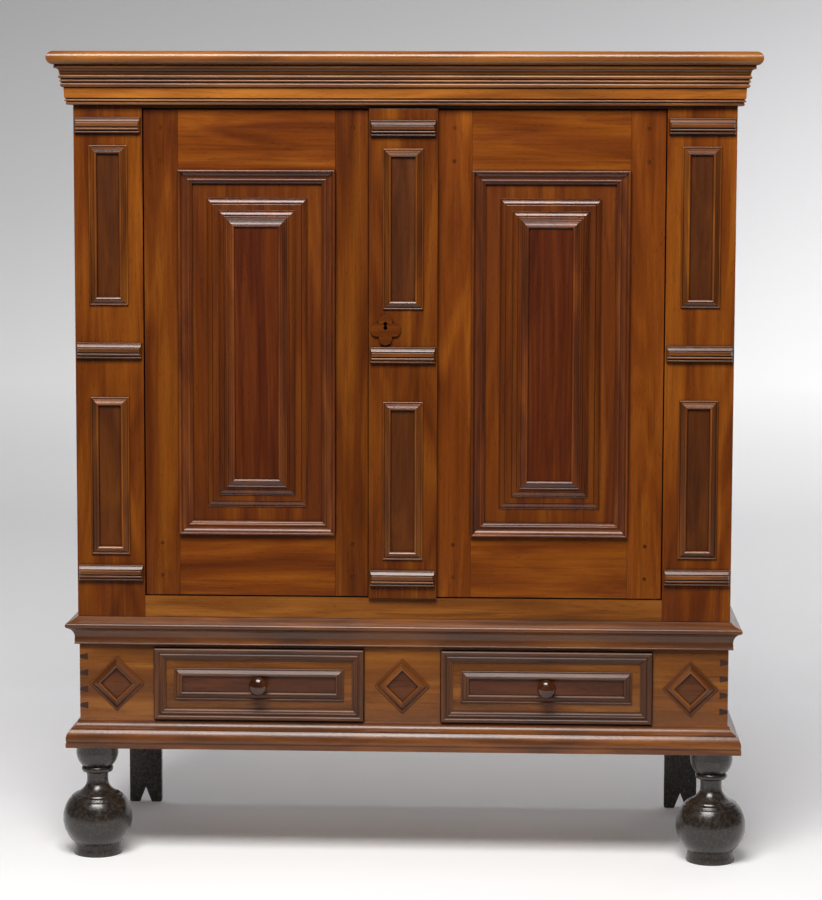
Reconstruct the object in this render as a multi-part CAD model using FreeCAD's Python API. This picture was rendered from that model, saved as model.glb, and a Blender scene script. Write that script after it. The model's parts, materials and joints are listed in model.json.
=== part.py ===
import FreeCAD, Part
import math
import os

# A kas: a wide gumwood cupboard with two panelled doors over two drawers, on two turned feet in
# front and two board feet behind. Millimetres, +Z up, +X to the viewer's right, +Y to the back.
# While building, Y is measured from the front face of the case; save() then moves the origin to the
# floor, at the middle of the width and depth.

# Case
case_width = 1600.0
case_depth = 628.0
case_height = 1344.0
front_stile_width = 167.0
frame_thickness = 35.0
top_rail_reveal = 7.0
bottom_rail_height = 52.0
side_thickness = 25.0
side_front_stile = 70.0
side_rear_stile = 80.0
side_end_rail = 130.0
side_cross_rail = 90.0
side_panel_thickness = 12.0
side_panel_bevel = 40.0
case_floor_thickness = 22.0
back_board_thickness = 14.0
back_board_gap = 0.8
back_board_count = 6
shelf_thickness = 20.0
shelf_setback = 75.0
shelf_count = 3
cleat_width = 25.0
cleat_height = 30.0
stop_thickness = 20.0
stop_lap = 12.0
stop_clearance = 5.0

# Base
foot_height = 278.0
base_height = 325.0
base_inset = 2.5
base_board = 20.0
centre_block_width = 188.0
end_block_width = 184.5
dovetail_count = 8
dovetail_narrow = 7.0
dovetail_wide = 16.0

# Cornice, waist and base mouldings
top_board = 33.0
top_board_overhang = 16.0
cornice_height = 95.0
cornice_projection = 40.0
waist_height = 68.5
waist_projection = 31.0
base_moulding_height = 68.0
base_moulding_projection = 32.0

# Feet
foot_radius = 88.0
foot_inset = 36.0
foot_tenon_radius = 11.0
foot_tenon_length = 32.0
foot_block_size = 80.0
foot_block_height = 40.0
rear_foot_width = 86.0
rear_foot_thickness = 20.0
rear_foot_inset = 82.0
rear_foot_lap = 100.0
rear_foot_notch_width = 32.0
rear_foot_notch_height = 41.0
rear_foot_corner = 6.0

# Doors
door_recess = 4.5
door_back_play = 0.5
door_side_gap = 3.0
door_end_gap = 3.0
meeting_gap = 1.5
door_stile = 83.0
door_inner_stile = 81.0
door_top_rail = 145.0
door_bottom_rail = 150.5
panel_recess = 8.0
panel_board = 12.0
groove_depth = 8.0
tenon_thickness = 10.0
tenon_stop = 25.0
tenon_shoulder = 15.0
peg_radius = 4.5
peg_proud = 0.6
peg_edge = 22.0
peg_spacing = 80.0
peg_reach = 43.0
border_width = 33.0
border_proud = 20.0
step_edge = 17.0
step_rise = 8.0
inner_frame_width = 21.0
inner_frame_proud = 9.0
field_thickness = 3.0

# Hinge pins, let into the door ends and turning in the case rails
pin_radius = 4.0
pin_in_door = 25.0
pin_in_rail = 18.0
pin_edge = 14.0
pin_face = 8.0
pin_clearance = 0.05
pin_collar_radius = 8.0
pin_collar_clearance = 0.1

# Ornament of the stiles, of the pilaster on the right door and of the base
tablet_margin = 7.0
tablet_height = 38.0
tablet_proud = 16.0
tablet_return = 5.5
capital_gap = 29.0
lower_tablet_rise = 90.0
stile_frame_width = 94.5
stile_frame_strip = 20.5
stile_frame_proud = 11.0
upper_frame_gap = 29.5
lower_frame_gap = 26.5
frame_tablet_gap = 91.5
pilaster_width = 166.0
pilaster_thickness = 16.0
pilaster_lap = 2.0
pilaster_drop = 6.5
pilaster_frame_width = 98.0
lozenge_margin = 21.0
lozenge_strip = 20.5
lozenge_proud = 10.0

# Lock and bolts
lock_edge = 40.5
lock_rise = 42.0
escutcheon_lobe = 16.2
escutcheon_offset = 20.8
escutcheon_thickness = 5.5
keyhole_radius = 4.8
keyhole_rise = 15.2
keyhole_drop = 10.2
lock_width = 95.0
lock_height = 90.0
lock_depth = 20.0
lock_margin = 3.0
lock_plate = 5.0
lock_bolt_length = 62.0
lock_bolt_height = 18.0
lock_bolt_thickness = 8.0
bolt_width = 10.0
bolt_thickness = 7.0
bolt_length = 150.0
bolt_setback = 5.0
bolt_play = 0.5
bolt_slot_play = 3.0
bolt_knob_radius = 6.0
bolt_knob_length = 16.0
strap_thickness = 3.5
strap_height = 14.0
strap_spacing = 90.0
keeper_width = 18.0
keeper_height = 42.0
keeper_setback = 2.5

# Drawers
drawer_gap = 1.5
drawer_head = 8.5
drawer_back_gap = 45.5
drawer_side = 12.0
drawer_side_drop = 27.0
drawer_bottom = 10.0
drawer_bottom_lift = 6.0
drawer_border_width = 28.5
drawer_border_proud = 12.0
drawer_frame_width = 20.5
drawer_frame_proud = 9.0
runner_bearing = 25.0
runner_thickness = 22.0
guide_width = 20.0
guide_height = 20.0
guide_clearance = 1.0
slide_clearance = 0.2
knob_radius = 23.0
knob_length = 40.0
knob_dowel_radius = 7.0

# Outlines as shares of a moulding's width and depth. A step of two numbers is a straight run to that
# point, and a step of four is an arc through its first point to its second.
# Mouldings round the carcass: projection, then height from the bottom edge
cornice_shares = [
    (0.0, 0.0), (0.26, 0.0), (0.35, 0.012, 0.37, 0.06), (0.33, 0.07), (0.33, 0.08), (0.40, 0.088),
    (0.46, 0.11, 0.41, 0.14), (0.38, 0.15), (0.38, 0.165), (0.46, 0.175), (0.49, 0.42), (0.46, 0.43),
    (0.52, 0.44), (0.64, 0.465, 0.65, 0.53), (0.60, 0.54), (0.60, 0.565), (0.65, 0.575),
    (0.71, 0.60, 0.66, 0.63), (0.63, 0.64), (0.63, 0.655), (0.69, 0.665), (0.77, 0.705, 0.70, 0.75),
    (0.67, 0.76), (0.67, 0.775), (0.72, 0.785), (0.78, 0.88, 0.95, 0.915), (1.0, 0.915), (1.0, 0.97),
    (0.96, 1.0), (0.0, 1.0)]
waist_shares = [
    (0.0, 0.0), (0.30, 0.0), (0.37, 0.025, 0.32, 0.06), (0.34, 0.15), (0.42, 0.43, 0.70, 0.575),
    (0.78, 0.58), (0.78, 0.60), (0.88, 0.605), (1.0, 0.69, 0.88, 0.785), (0.80, 0.80),
    (0.46, 0.87, 0.14, 0.99), (0.0, 1.0)]
base_moulding_shares = [
    (0.0, 0.0), (1.0, 0.0), (1.0, 0.165), (0.93, 0.18), (0.93, 0.205), (0.97, 0.22),
    (0.92, 0.48, 0.70, 0.645), (0.60, 0.65), (0.60, 0.70), (0.36, 0.76, 0.14, 0.965), (0.0, 1.0)]
# Mitred frames: from the outer edge to the inner edge, then proud of the ground
border_shares = [
    (0.0, 0.0), (0.0, 0.84), (0.08, 1.0, 0.18, 0.88), (0.18, 0.80), (0.30, 0.55, 0.62, 0.42),
    (0.64, 0.42), (0.64, 0.46), (0.72, 0.56, 0.82, 0.46), (0.82, 0.42), (0.91, 0.37, 0.96, 0.28),
    (1.0, 0.26), (1.0, 0.0)]
inner_frame_shares = [
    (0.0, 0.0), (0.0, 0.28), (0.09, 0.42, 0.19, 0.33), (0.21, 0.24), (0.25, 0.28), (0.44, 0.60, 0.65, 0.88),
    (0.67, 0.80), (0.71, 0.82), (0.772, 0.995, 0.82, 0.95), (0.93, 0.83, 1.0, 0.64), (1.0, 0.0)]
drawer_border_shares = [
    (0.0, 0.0), (0.0, 0.80), (0.13, 1.0, 0.34, 0.84), (0.34, 0.68), (0.44, 0.62), (0.48, 0.70),
    (0.58, 0.82, 0.69, 0.66), (0.69, 0.52), (0.84, 0.40, 0.92, 0.20), (1.0, 0.18), (1.0, 0.0)]
# Raised steps of a door panel: from the edge inwards, then up to the crest
step_shares = [
    (0.0, 0.0), (0.0, 0.20), (0.05, 0.28, 0.10, 0.22), (0.11, 0.07), (0.19, 0.07), (0.20, 0.25),
    (0.49, 0.582, 0.80, 0.85), (0.81, 0.68), (0.89, 0.68), (0.90, 0.93), (0.947, 0.981, 1.0, 1.0)]
# Reeded tablets: down the face, then proud: a weathering, a broad reed and two beads
tablet_shares = [
    (0.0, 0.0), (0.0, 0.26), (0.03, 0.36, 0.06, 0.28), (0.062, 0.23), (0.08, 0.23), (0.082, 0.30),
    (0.17, 0.545, 0.27, 0.74), (0.275, 0.60), (0.32, 0.60), (0.33, 0.90), (0.347, 0.971, 0.38, 1.0),
    (0.55, 1.0), (0.583, 0.971, 0.60, 0.90), (0.61, 0.58), (0.65, 0.58), (0.66, 0.70),
    (0.735, 0.86, 0.81, 0.68), (0.82, 0.46), (0.87, 0.46), (0.88, 0.50), (0.94, 0.62, 0.99, 0.48),
    (1.0, 0.42), (1.0, 0.0)]
# Height of a tablet's square ends, below their slope, by its proud height
tablet_heel_share = 0.28
# Insets of a door panel's raised plates and inner frame from the panel's edge, by the panel's width
lower_plate_share = 0.1769
upper_plate_share = 0.2543
inner_frame_share = 0.3067
# Inset of a drawer's inner frame from the drawer's edge, by the drawer's height
drawer_frame_share = 0.276
# Turnings: radius, then height from the lower end
foot_shares = [
    (0.0, 0.0), (0.67, 0.0), (0.685, 0.014), (0.655, 0.05), (0.645, 0.10), (0.975, 0.335, 0.69, 0.535),
    (0.67, 0.537), (0.64, 0.546), (0.44, 0.581, 0.312, 0.635), (0.297, 0.685, 0.307, 0.735),
    (0.40, 0.745), (0.445, 0.772, 0.40, 0.80), (0.45, 0.808), (0.555, 0.863, 0.59, 0.935), (0.59, 1.0),
    (0.0, 1.0)]
knob_shares = [
    (0.0, 0.0), (0.56, 0.0), (0.60, 0.06, 0.52, 0.13), (0.40, 0.20, 0.46, 0.30), (0.72, 0.36),
    (1.0, 0.62, 0.66, 0.90), (0.50, 0.96), (0.28, 0.99), (0.0, 1.0)]

# Levels and places that follow from the sizes above
overrun = 2.0
case_half = case_width / 2
base_half = case_half - base_inset
base_inner = base_half - base_board
base_top = foot_height + base_height
case_top = base_top + case_height
cornice_reach = cornice_projection + top_board_overhang
middle_depth = (case_depth - cornice_reach) / 2
opening_half = case_half - front_stile_width
top_rail_low = case_top - cornice_height - top_rail_reveal
bottom_rail_high = base_top + bottom_rail_height
case_inner = case_half - side_thickness
back_face = case_depth - back_board_thickness
floor_top = base_top + case_floor_thickness
base_front = base_inset
base_behind = base_inset + base_board
base_back_face = case_depth - base_board

door_outer = opening_half - door_side_gap
door_low = bottom_rail_high + door_end_gap
door_high = top_rail_low - door_end_gap
door_back = frame_thickness - door_back_play
door_thickness = door_back - door_recess
pilaster_half = pilaster_width / 2
left_door_edge = pilaster_half + meeting_gap
panel_outer = door_outer - door_stile
panel_inner = left_door_edge + door_inner_stile
panel_width = panel_outer - panel_inner
tenon_length = door_stile - tenon_stop
panel_low = door_low + door_bottom_rail
panel_high = door_high - door_top_rail
panel_middle = (panel_inner + panel_outer) / 2
panel_level = (panel_low + panel_high) / 2
panel_height = panel_high - panel_low
panel_face = door_recess + panel_recess
pin_x = door_outer - pin_edge
pin_y = door_recess + pin_face
pilaster_face = door_recess - pilaster_thickness
bolt_x = (left_door_edge + panel_inner) / 2
bolt_face = max(door_back, frame_thickness) + bolt_play
lock_x = lock_edge - pilaster_half

capital_top = case_height - cornice_height - capital_gap
lower_tablet_top = lower_tablet_rise + tablet_height
middle_tablet_top = (capital_top + lower_tablet_rise + tablet_height) / 2
upper_frame_top = capital_top - tablet_height - upper_frame_gap
stile_frame_height = upper_frame_top - middle_tablet_top - frame_tablet_gap
lower_frame_top = lower_tablet_top + lower_frame_gap + stile_frame_height
lock_z = base_top + middle_tablet_top - pilaster_drop + lock_rise

opening_inner = centre_block_width / 2
opening_outer = base_half - end_block_width
opening_low = foot_height + base_moulding_height
opening_high = base_top - waist_height - drawer_head
drawer_low = opening_low + drawer_gap
drawer_high = opening_high - drawer_gap
drawer_height = drawer_high - drawer_low
drawer_width = opening_outer - opening_inner - drawer_gap - drawer_gap
drawer_middle = (opening_inner + opening_outer) / 2
drawer_level = (drawer_low + drawer_high) / 2
drawer_depth = base_back_face - base_behind - drawer_back_gap
lozenge_half = drawer_height / 2 - lozenge_margin
stile_middle = case_half - front_stile_width / 2
end_block_middle = (opening_outer + base_half) / 2
foot_place = base_half - foot_inset

origin = FreeCAD.Vector()
across = FreeCAD.Vector(1, 0, 0)
inward = FreeCAD.Vector(0, 1, 0)
upward = FreeCAD.Vector(0, 0, 1)


def point(x, y, z):
    return FreeCAD.Vector(x, y, z)


def box(x0, x1, y0, y1, z0, z1):
    return Part.makeBox(x1 - x0, y1 - y0, z1 - z0, point(x0, y0, z0))


def prism(corners, travel):
    return Part.Face(Part.makePolygon(corners + corners[:1])).extrude(travel)


def moved(shapes, x, y, z):
    return [shape.translated(point(x, y, z)) for shape in shapes]


def mirrored(shapes):
    return [shape.mirror(origin, across) for shape in shapes]


def both_sides(shapes):
    return shapes + mirrored(shapes)


def save(node, shapes):
    solids = [solid for shape in shapes for solid in shape.Solids]
    placed = moved(solids, 0, -middle_depth, 0)
    whole = placed[0] if len(placed) == 1 else Part.makeCompound(placed)
    whole.exportStep("parts/" + node + ".step")


# A table of shares in real sizes
def sized(shares, width, depth):
    sizes = (width, depth, width, depth)
    return [tuple(share * size for share, size in zip(step, sizes)) for step in shares]


# The same outline walked from its end back to its start
def reversed_steps(steps):
    walk = [steps[-1][-2:]]
    for before, step in zip(steps[-2::-1], steps[:0:-1]):
        walk.append(step[:-2] + before[-2:])
    return walk


# A closed face from the steps of an outline; place turns a step's two numbers into a point
def outline_face(steps, place):
    here = place(*steps[0])
    edges = []
    for step in steps[1:]:
        there = place(*step[-2:])
        if len(step) == 2:
            edges.append(Part.LineSegment(here, there).toShape())
        else:
            edges.append(Part.Arc(here, place(*step[:2]), there).toShape())
        here = there
    edges.append(Part.LineSegment(here, place(*steps[0])).toShape())
    return Part.Face(Part.Wire(edges))


# Three mitred lengths round the front and sides of a carcass
def wrapped_moulding(half, front, projection, bottom, height, steps):
    reach = half + projection
    lip = front - projection
    rise = upward * height
    face = outline_face(steps, lambda p, z: point(-reach, front - p, bottom + z))
    corners = [point(-half, front, bottom), point(half, front, bottom),
               point(reach, lip, bottom), point(-reach, lip, bottom)]
    lengths = [face.extrude(across * (2 * reach)).common(prism(corners, rise))]
    face = outline_face(steps, lambda p, z: point(half + p, lip, bottom + z))
    corners = [point(half, front, bottom), point(half, case_depth, bottom),
               point(reach, case_depth, bottom), point(reach, lip, bottom)]
    side = face.extrude(inward * (case_depth - lip)).common(prism(corners, rise))
    return lengths + both_sides([side])


# Four mitred strips round the Y axis, standing proud of a ground at y = 0
def mitred_frame(width, height, strip, proud, shares):
    steps = sized(shares, strip, proud)
    strips = []
    for turn, (length, rise) in enumerate(((width, height), (height, width)) * 2):
        half = length / 2
        edge = rise / 2
        face = outline_face(steps, lambda u, v: point(-half, -v, edge - u))
        corners = [point(-half, 0, edge), point(half, 0, edge),
                   point(half - strip, 0, edge - strip), point(strip - half, 0, edge - strip)]
        mitre = prism(corners, inward * -proud)
        bar = face.extrude(across * length).common(mitre)
        strips.append(bar.rotated(origin, inward, 90 * turn))
    return strips


# The plain panel inside a mitred frame
def frame_field(width, height, strip):
    half = width / 2 - strip
    rise = height / 2 - strip
    return box(-half, half, -field_thickness, 0, -rise, rise)


# An outline that rises from both ends of a span to a level crest
def crest_steps(span, edge, proud, shares):
    steps = sized(shares, edge, proud)
    half = span / 2
    near = [tuple(value - half if i % 2 == 0 else value for i, value in enumerate(step)) for step in steps]
    far = [tuple(half - value if i % 2 == 0 else value for i, value in enumerate(step))
           for step in reversed_steps(steps)]
    return near + far


# A raised plate, moulded all round its edges
def moulded_plate(width, height, proud, edge, shares):
    face = outline_face(crest_steps(height, edge, proud, shares), lambda a, b: point(-width / 2, -b, a))
    level = face.extrude(across * width)
    face = outline_face(crest_steps(width, edge, proud, shares), lambda a, b: point(a, -b, -height / 2))
    return level.common(face.extrude(upward * height))


# A reeded tablet for a stile or pilaster of this width, hung from its upper edge, its ends cut sloping
def reeded_tablet(ground_width):
    half = (ground_width - tablet_margin) / 2
    crest = half - tablet_return
    heel = tablet_proud * tablet_heel_share
    steps = sized(tablet_shares, tablet_height, tablet_proud)
    face = outline_face(steps, lambda a, b: point(-half, -b, -a))
    plan = [point(-half, 0, 0), point(half, 0, 0), point(half, -heel, 0), point(crest, -tablet_proud, 0),
            point(-crest, -tablet_proud, 0), point(-half, -heel, 0)]
    return face.extrude(across * (half + half)).common(prism(plan, upward * -tablet_height))


def turned(shares, radius, length):
    face = outline_face(sized(shares, radius, length), lambda r, z: point(r, 0, z))
    return face.revolve(origin, upward, 360)


def tenons(x0, x1, y, z0, z1):
    near = y - tenon_thickness / 2
    far = y + tenon_thickness / 2
    low = z0 + tenon_shoulder
    high = z1 - tenon_shoulder
    return [box(x0 - tenon_length, x0, near, far, low, high),
            box(x1, x1 + tenon_length, near, far, low, high)]


def pin_hole(z0, z1):
    return Part.makeCylinder(pin_radius + pin_clearance, z1 - z0, point(pin_x, pin_y, z0))


# Front stiles of the case, and the rails tenoned between them with sockets for the hinge pins
def case_front():
    middle = frame_thickness / 2
    rails = []
    joints = []
    sockets = both_sides([pin_hole(bottom_rail_high - pin_in_rail, bottom_rail_high + overrun),
                          pin_hole(top_rail_low - overrun, top_rail_low + pin_in_rail)])
    for low, high in ((base_top, bottom_rail_high), (top_rail_low, case_top)):
        ends = tenons(-opening_half, opening_half, middle, low, high)
        rail = box(-opening_half, opening_half, 0, frame_thickness, low, high)
        rails.append(rail.fuse(ends).removeSplitter().cut(sockets))
        joints += ends
    stile = box(opening_half, case_half, 0, frame_thickness, base_top, case_top).cut(joints)
    save("right_front_stile", [stile])
    save("left_front_stile", mirrored([stile]))
    save("front_rails", rails)


# Frame and panel sides, the panels' bevelled edges held in grooves
def case_sides():
    front = frame_thickness + side_front_stile
    rear = case_depth - side_rear_stile
    low_rail = base_top + side_end_rail
    high_rail = case_top - side_end_rail
    middle = (base_top + case_top) / 2
    middle_low = middle - side_cross_rail / 2
    middle_high = middle + side_cross_rail / 2
    tongue = case_inner + (side_thickness - side_panel_thickness) / 2
    panels = []
    for low, high in ((low_rail, middle_low), (middle_high, high_rail)):
        panel = box(tongue, tongue + side_panel_thickness, front - groove_depth, rear + groove_depth,
                    low - groove_depth, high + groove_depth)
        panels.append(panel)
    frame = [box(case_inner, case_half, frame_thickness, front, base_top, case_top),
             box(case_inner, case_half, rear, case_depth, base_top, case_top)]
    for low, high in ((base_top, low_rail), (middle_low, middle_high), (high_rail, case_top)):
        frame.append(box(case_inner, case_half, front, rear, low, high))
    grooved = [member.cut(panels) for member in frame]
    save("side_frames", both_sides(grooved))
    save("side_panels", both_sides([bevelled_panel(panel) for panel in panels]))


# A side panel with its outer face thinned towards the edges
def bevelled_panel(panel):
    bounds = panel.BoundBox
    thin = side_panel_thickness / 3
    outer = bounds.XMax
    bevel = side_panel_bevel
    wedge = [point(outer, bounds.YMin, 0), point(outer - thin, bounds.YMin, 0),
             point(outer, bounds.YMin + bevel, 0)]
    edge = prism([corner + upward * bounds.ZMin for corner in wedge], upward * bounds.ZLength)
    level = [point(outer, bounds.YMin, bounds.ZMin), point(outer - thin, bounds.YMin, bounds.ZMin),
             point(outer, bounds.YMin, bounds.ZMin + bevel)]
    lower = prism(level, inward * bounds.YLength)
    middle = panel.BoundBox.Center
    upper = lower.mirror(middle, upward)
    return panel.cut([edge, edge.mirror(middle, inward), lower, upper])


def case_inside():
    save("case_bottom", [box(-case_inner, case_inner, frame_thickness, back_face, base_top, floor_top)])
    pitch = (case_inner + case_inner + back_board_gap) / back_board_count
    boards = []
    for i in range(back_board_count):
        left = i * pitch - case_inner
        boards.append(box(left, left + pitch - back_board_gap, back_face, case_depth, base_top, case_top))
    save("back_boards", boards)
    shelves = []
    cleats = []
    spacing = (top_rail_low - floor_top) / (shelf_count + 1)
    for i in range(shelf_count):
        level = floor_top + spacing * (i + 1)
        shelves.append(box(-case_inner, case_inner, shelf_setback, back_face,
                           level, level + shelf_thickness))
        cleats.append(box(case_inner - cleat_width, case_inner, shelf_setback, back_face,
                          level - cleat_height, level))
    save("shelves", shelves)
    save("shelf_cleats", both_sides(cleats))


# Strips behind the rails that the doors close against, parted where the left door's bolts pass
def door_stops():
    heel = math.hypot(pin_edge, door_thickness - pin_face)
    end = pin_x - heel - stop_clearance
    slot = bolt_width / 2 + bolt_slot_play
    back = frame_thickness + stop_thickness
    strips = []
    for low, high in ((floor_top, door_low + stop_lap), (door_high - stop_lap, case_top)):
        strips.append(box(-end, -bolt_x - slot, frame_thickness, back, low, high))
        strips.append(box(slot - bolt_x, end, frame_thickness, back, low, high))
    save("door_stops", strips)


def cornice():
    steps = sized(cornice_shares, cornice_projection, cornice_height)
    low = case_top - cornice_height
    save("cornice_moulding", wrapped_moulding(case_half, 0, cornice_projection, low, cornice_height, steps))
    nose = top_board / 2
    start = cornice_reach - nose
    steps = [(0, 0), (start, 0), (cornice_reach, nose, start, top_board), (0, top_board)]
    lip = wrapped_moulding(case_half, 0, cornice_reach, case_top, top_board, steps)
    board = box(-case_half, case_half, 0, case_depth, case_top, case_top + top_board)
    save("cornice_top", [board.fuse(lip).removeSplitter()])


# Tapered pins of a base side's front end, which the front's tails close round
def dovetail_pins():
    pitch = base_height / dovetail_count
    pins = []
    for i in range(dovetail_count):
        level = foot_height + pitch * (i + 1 / 2)
        corners = [point(base_half, base_front, level - dovetail_narrow / 2),
                   point(base_half, base_front, level + dovetail_narrow / 2),
                   point(base_inner, base_front, level + dovetail_wide / 2),
                   point(base_inner, base_front, level - dovetail_wide / 2)]
        pins.append(prism(corners, inward * base_board))
    return pins


def base_carcass():
    pins = dovetail_pins()
    block = box(opening_outer, base_half, base_front, base_behind, foot_height, base_top).cut(pins)
    centre = box(-opening_inner, opening_inner, base_front, base_behind, foot_height, base_top)
    rails = [box(opening_inner, opening_outer, base_front, base_behind, foot_height, opening_low),
             box(opening_inner, opening_outer, base_front, base_behind, opening_high, base_top)]
    save("base_front", [centre] + both_sides([block] + rails))
    side = box(base_inner, base_half, base_behind, case_depth, foot_height, base_top)
    side = side.fuse(pins).removeSplitter()
    save("base_right_side", [side])
    save("base_left_side", mirrored([side]))
    save("base_back", [box(-base_inner, base_inner, base_back_face, case_depth, foot_height, base_top)])


# A runner and a guide strip under and beside each side of each drawer
def drawer_runners():
    top = drawer_low - slide_clearance
    strips = []
    for edge, way in ((drawer_middle - drawer_width / 2, -1), (drawer_middle + drawer_width / 2, 1)):
        under = edge - way * runner_bearing
        fence = edge + way * guide_clearance
        outer = fence + way * guide_width
        strips.append(box(min(under, outer), max(under, outer), base_behind, base_back_face,
                          top - runner_thickness, top))
        strips.append(box(min(fence, outer), max(fence, outer), base_behind, base_back_face,
                          top, top + guide_height))
    save("drawer_runners", both_sides(strips))


def base_mouldings():
    steps = sized(waist_shares, waist_projection, waist_height)
    low = base_top - waist_height
    save("waist_moulding", wrapped_moulding(base_half, base_front, waist_projection, low,
                                            waist_height, steps))
    steps = sized(base_moulding_shares, base_moulding_projection, base_moulding_height)
    save("base_moulding", wrapped_moulding(base_half, base_front, base_moulding_projection, foot_height,
                                           base_moulding_height, steps))


# Turned feet tenoned into corner blocks
def front_feet():
    tenon = Part.makeCylinder(foot_tenon_radius, foot_tenon_length, point(0, 0, foot_height))
    foot = turned(foot_shares, foot_radius, foot_height).fuse(tenon).removeSplitter()
    feet = moved([foot, tenon], foot_place, base_front + foot_inset, 0)
    block = box(base_inner - foot_block_size, base_inner, base_behind, base_behind + foot_block_size,
                foot_height, foot_height + foot_block_height)
    save("right_front_foot", feet[:1])
    save("left_front_foot", mirrored(feet[:1]))
    save("foot_blocks", both_sides([block.cut(feet[1])]))


# Boards lapped inside the base back, with a notch cut in the foot
def rear_feet():
    half = rear_foot_width / 2
    middle = case_half - rear_foot_inset
    front = base_back_face - rear_foot_thickness
    foot = box(middle - half, middle + half, front, base_back_face, 0, foot_height + rear_foot_lap)
    lower = [edge for edge in foot.Edges if edge.BoundBox.ZMax < rear_foot_corner
             and edge.BoundBox.YLength > rear_foot_thickness / 2]
    foot = foot.makeFillet(rear_foot_corner, lower)
    notch = prism([point(middle - rear_foot_notch_width / 2, front, 0),
                   point(middle + rear_foot_notch_width / 2, front, 0),
                   point(middle, front, rear_foot_notch_height)], inward * rear_foot_thickness)
    save("rear_feet", both_sides([foot.cut(notch)]))


# Frames, fields and tablets planted on the case stiles and on the base front
def case_ornament():
    strip = stile_frame_strip
    frame = mitred_frame(stile_frame_width, stile_frame_height, strip, stile_frame_proud, inner_frame_shares)
    field = [frame_field(stile_frame_width, stile_frame_height, strip)]
    frames = []
    fields = []
    for top in (upper_frame_top, lower_frame_top):
        level = base_top + top - stile_frame_height / 2
        frames += both_sides(moved(frame, stile_middle, 0, level))
        fields += both_sides(moved(field, stile_middle, 0, level))
    side = lozenge_half * math.sqrt(2)
    lozenge = mitred_frame(side, side, lozenge_strip, lozenge_proud, inner_frame_shares)
    inside = [frame_field(side, side, lozenge_strip)]
    for x in (-end_block_middle, 0, end_block_middle):
        for shapes, group in ((lozenge, frames), (inside, fields)):
            turned_square = [shape.rotated(origin, inward, 45) for shape in shapes]
            group += moved(turned_square, x, base_front, drawer_level)
    tablets = []
    for top in (capital_top, middle_tablet_top, lower_tablet_top):
        tablets += both_sides(moved([reeded_tablet(front_stile_width)], stile_middle, 0, base_top + top))
    save("applied_frames", frames)
    save("applied_fields", fields)
    save("stile_tablets", tablets)


def keyhole(y0, y1):
    holes = []
    for rise in (keyhole_rise, keyhole_rise - keyhole_drop):
        holes.append(Part.makeCylinder(keyhole_radius, y1 - y0, point(lock_x, y0, lock_z + rise), inward))
    slot = keyhole_radius / 2
    bridge = box(lock_x - slot, lock_x + slot, y0, y1, lock_z + keyhole_rise - keyhole_drop,
                 lock_z + keyhole_rise)
    return holes[0].fuse([holes[1], bridge]).removeSplitter()


# Iron pins for the two ends of a door
def pin_shafts():
    length = pin_in_door + door_end_gap + pin_in_rail - overrun
    return [Part.makeCylinder(pin_radius, length, point(pin_x, pin_y, door_high - pin_in_door)),
            Part.makeCylinder(pin_radius, length, point(pin_x, pin_y, door_low + pin_in_door - length))]


# The pins with a collar on the lower one, which carries the door
def hinge_pins():
    upper, lower = pin_shafts()
    collar = Part.makeCylinder(pin_collar_radius, door_end_gap - pin_collar_clearance,
                               point(pin_x, pin_y, bottom_rail_high + pin_collar_clearance))
    return [upper, lower.fuse(collar).removeSplitter()]


# Pegs through the mortise and tenon joints of a door frame
def door_pegs():
    pegs = []
    length = peg_proud + door_thickness
    for x in (panel_inner - peg_reach, panel_outer + peg_reach):
        for edge in (peg_edge, peg_edge + peg_spacing):
            for z in (panel_low - edge, panel_high + edge):
                start = point(x, door_recess - peg_proud, z)
                pegs.append(Part.makeCylinder(peg_radius, length, start, inward))
    return pegs


# The built-up mouldings of a door panel: border, two raised steps, inner frame and field
def panel_layers():
    border = mitred_frame(panel_width, panel_height, border_width, border_proud, border_shares)
    steps = []
    for i, share in enumerate((lower_plate_share, upper_plate_share)):
        inset = panel_width * share
        plate = moulded_plate(panel_width - 2 * inset, panel_height - 2 * inset, step_rise, step_edge,
                              step_shares)
        steps += moved([plate], 0, -i * step_rise, 0)
    inset = panel_width * inner_frame_share
    width = panel_width - 2 * inset
    height = panel_height - 2 * inset
    crest = -len(steps) * step_rise
    frame = mitred_frame(width, height, inner_frame_width, inner_frame_proud, inner_frame_shares)
    field = frame_field(width, height, inner_frame_width)
    layers = (steps, border + moved(frame, 0, crest, 0), moved([field], 0, crest, 0))
    return [moved(shapes, panel_middle, panel_face, panel_level) for shapes in layers]


# A door hung at its +X edge, as its nodes by name
def door(inner_edge):
    panel = box(panel_inner - groove_depth, panel_outer + groove_depth, panel_face, panel_face + panel_board,
                panel_low - groove_depth, panel_high + groove_depth)
    pegs = door_pegs()
    rails = []
    joints = []
    for low, high in ((door_low, panel_low), (panel_high, door_high)):
        ends = tenons(panel_inner, panel_outer, (door_recess + door_back) / 2, low, high)
        rail = box(panel_inner, panel_outer, door_recess, door_back, low, high).fuse(ends).removeSplitter()
        rails.append(rail.cut([panel] + pegs))
        joints += ends
    stiles = [box(inner_edge, panel_inner, door_recess, door_back, door_low, door_high),
              box(panel_outer, door_outer, door_recess, door_back, door_low, door_high)]
    stiles = [stile.cut(joints + pegs + pin_shafts() + [panel]) for stile in stiles]
    steps, mouldings, field = panel_layers()
    return {"stiles": stiles, "rails": rails, "panel": [panel], "panel_steps": steps,
            "mouldings": mouldings, "field": field, "pegs": pegs, "hinge_pins": hinge_pins()}


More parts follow.
